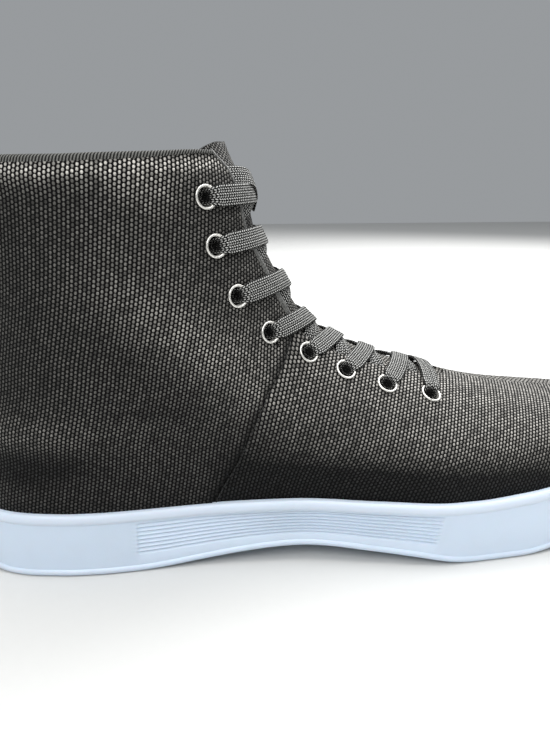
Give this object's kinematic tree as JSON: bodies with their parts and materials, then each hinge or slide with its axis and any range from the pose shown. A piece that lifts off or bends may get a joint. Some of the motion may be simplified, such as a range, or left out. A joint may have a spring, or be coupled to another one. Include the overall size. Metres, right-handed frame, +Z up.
{
  "type": "high top sneaker",
  "caption": "High top lace-up sneaker: hollow canvas upper on a rubber cupsole, with tongue, insole, eyelets, flat lace and collar binding.",
  "frame": {"origin": "on the floor, in the middle of the shoe's box", "axes": "+X towards the toe, +Y towards the inner side of the foot, +Z up"},
  "size_m": [0.31, 0.1012, 0.1675],
  "materials": {
    "white_rubber": "satin moulded rubber",
    "waxed_canvas": "coarse plain weave with a waxed sheen",
    "binding_tape": "ribbed woven tape",
    "lining_textile": "matt lining",
    "black_lace": "flat woven",
    "eyelet_metal": "plain pale metal"
  },
  "bodies": {
    "root": {"cupsole": "white_rubber", "upper": "waxed_canvas", "collar_binding": "binding_tape", "tongue": "waxed_canvas", "insole": "lining_textile", "lace": "black_lace", "eyelet_lateral_1": "eyelet_metal", "eyelet_medial_1": "eyelet_metal", "eyelet_lateral_2": "eyelet_metal", "eyelet_medial_2": "eyelet_metal", "eyelet_lateral_3": "eyelet_metal", "eyelet_medial_3": "eyelet_metal", "eyelet_lateral_4": "eyelet_metal", "eyelet_medial_4": "eyelet_metal", "eyelet_lateral_5": "eyelet_metal", "eyelet_medial_5": "eyelet_metal", "eyelet_lateral_6": "eyelet_metal", "eyelet_medial_6": "eyelet_metal", "eyelet_lateral_7": "eyelet_metal", "eyelet_medial_7": "eyelet_metal", "eyelet_lateral_8": "eyelet_metal", "eyelet_medial_8": "eyelet_metal"}
  },
  "joints": []
}
